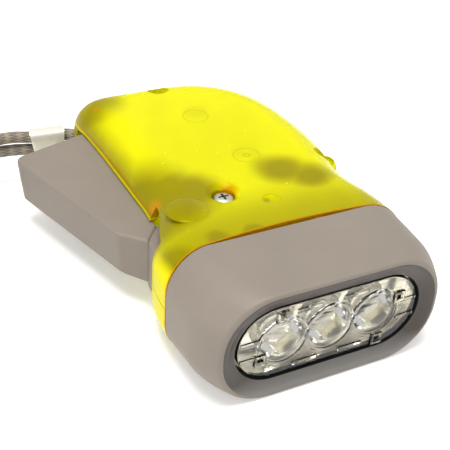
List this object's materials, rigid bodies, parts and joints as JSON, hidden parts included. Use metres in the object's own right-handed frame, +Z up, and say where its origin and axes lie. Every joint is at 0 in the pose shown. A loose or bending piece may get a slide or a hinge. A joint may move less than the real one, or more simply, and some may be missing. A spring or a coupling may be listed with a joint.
{
  "type": "hand-squeezed dynamo flashlight",
  "caption": "Hand-squeezed dynamo flashlight: grey lamp hood with lens domes, translucent yellow case, hinged side lever, gear train and generator inside, braided wrist strap.",
  "frame": {"origin": "on the flat underside of the case, at the middle of the body's length", "axes": "-Y is where the light shines, +Y the tail, +Z up, and the lever and strap are on the -X side"},
  "size_m": [0.1519, 0.1134, 0.0292],
  "materials": {
    "grey_plastic": "fine matt moulded",
    "yellow_plastic": "translucent, polished",
    "clear_plastic": "clear, polished",
    "chrome_film": "vacuum-metallised plastic",
    "lamp_resin": "clear epoxy",
    "board_green": "lacquered circuit board",
    "steel": "bright plated",
    "white_nylon": "moulded nylon",
    "magnet_grey": "sintered ferrite",
    "iron": "laminated",
    "black_resin": "moulded resin",
    "copper": "enamelled copper wire",
    "cell_wrap": "shrink film over button cells",
    "dark_plastic": "moulded",
    "black_cover": "wire cover",
    "red_cover": "wire cover",
    "cord_grey": "braided"
  },
  "bodies": {
    "casing": {"hood": "grey_plastic", "upper_shell": "yellow_plastic", "lower_shell": "yellow_plastic", "lens_plate": "clear_plastic", "reflector_tray": "chrome_film", "lamp_left": "lamp_resin", "lamp_middle": "lamp_resin", "lamp_right": "lamp_resin", "lamp_board": "board_green", "charge_board": "board_green", "case_screw_front": "steel", "case_screw_side": "steel", "case_screw_tail": "steel", "pivot_pin": "steel", "gear_axle": "steel", "rotor_axle": "steel", "strap_clip": "steel", "generator_core": "iron", "coil_bobbin": "black_resin", "coil_winding": "copper", "diode_1": "black_resin", "diode_2": "black_resin", "diode_3": "black_resin", "diode_4": "black_resin", "capacitor": "black_resin", "switch_body": "black_resin", "cell_stack": "cell_wrap", "generator_lead_a": "black_cover", "generator_lead_b": "black_cover", "lamp_lead_black": "black_cover", "cell_lead_black": "black_cover", "lamp_lead_red": "red_cover", "cell_lead_red": "red_cover", "strap_stub": "cord_grey", "strap_cord": "cord_grey"},
    "lever": {"squeeze_lever": "grey_plastic", "return_spring": "steel"},
    "drive": {"drive_pinion": "white_nylon"},
    "wheel": {"large_wheel": "white_nylon"},
    "rotor": {"rotor_pinion": "white_nylon", "ring_magnet": "magnet_grey"},
    "lock": {"lever_lock": "dark_plastic"},
    "power": {"power_slide": "dark_plastic"}
  },
  "joints": [
    {"name": "lever_hinge", "type": "hinge", "parent": "casing", "child": "lever", "pos_m": [-0.019, -0.01525, 0], "axis": [0, 0, -1], "range_deg": [0, 20], "stiffness_Nm_per_rad": 0.3, "springref_deg": -20.05},
    {"name": "drive_spin", "type": "hinge", "parent": "casing", "child": "drive", "pos_m": [0.0072, 0.00525, 0], "axis": [0, 0, 1], "continuous": true},
    {"name": "rotor_spin", "type": "hinge", "parent": "casing", "child": "rotor", "pos_m": [0.004, 0.02925, 0], "axis": [0, 0, 1], "continuous": true},
    {"name": "wheel_spin", "type": "hinge", "parent": "casing", "child": "wheel", "pos_m": [0.0072, 0.00525, 0], "axis": [0, 0, 1], "continuous": true},
    {"name": "lock_slide", "type": "slide", "parent": "casing", "child": "lock", "axis": [0, 1, 0], "range_m": [0, 0.003]},
    {"name": "power_slide", "type": "slide", "parent": "casing", "child": "power", "axis": [0, 1, 0], "range_m": [0, 0.003]}
  ],
  "couplings": [
    {"joint": "drive_spin", "follows": "lever_hinge", "ratio": 5},
    {"joint": "wheel_spin", "follows": "rotor_spin", "ratio": -0.46667}
  ]
}
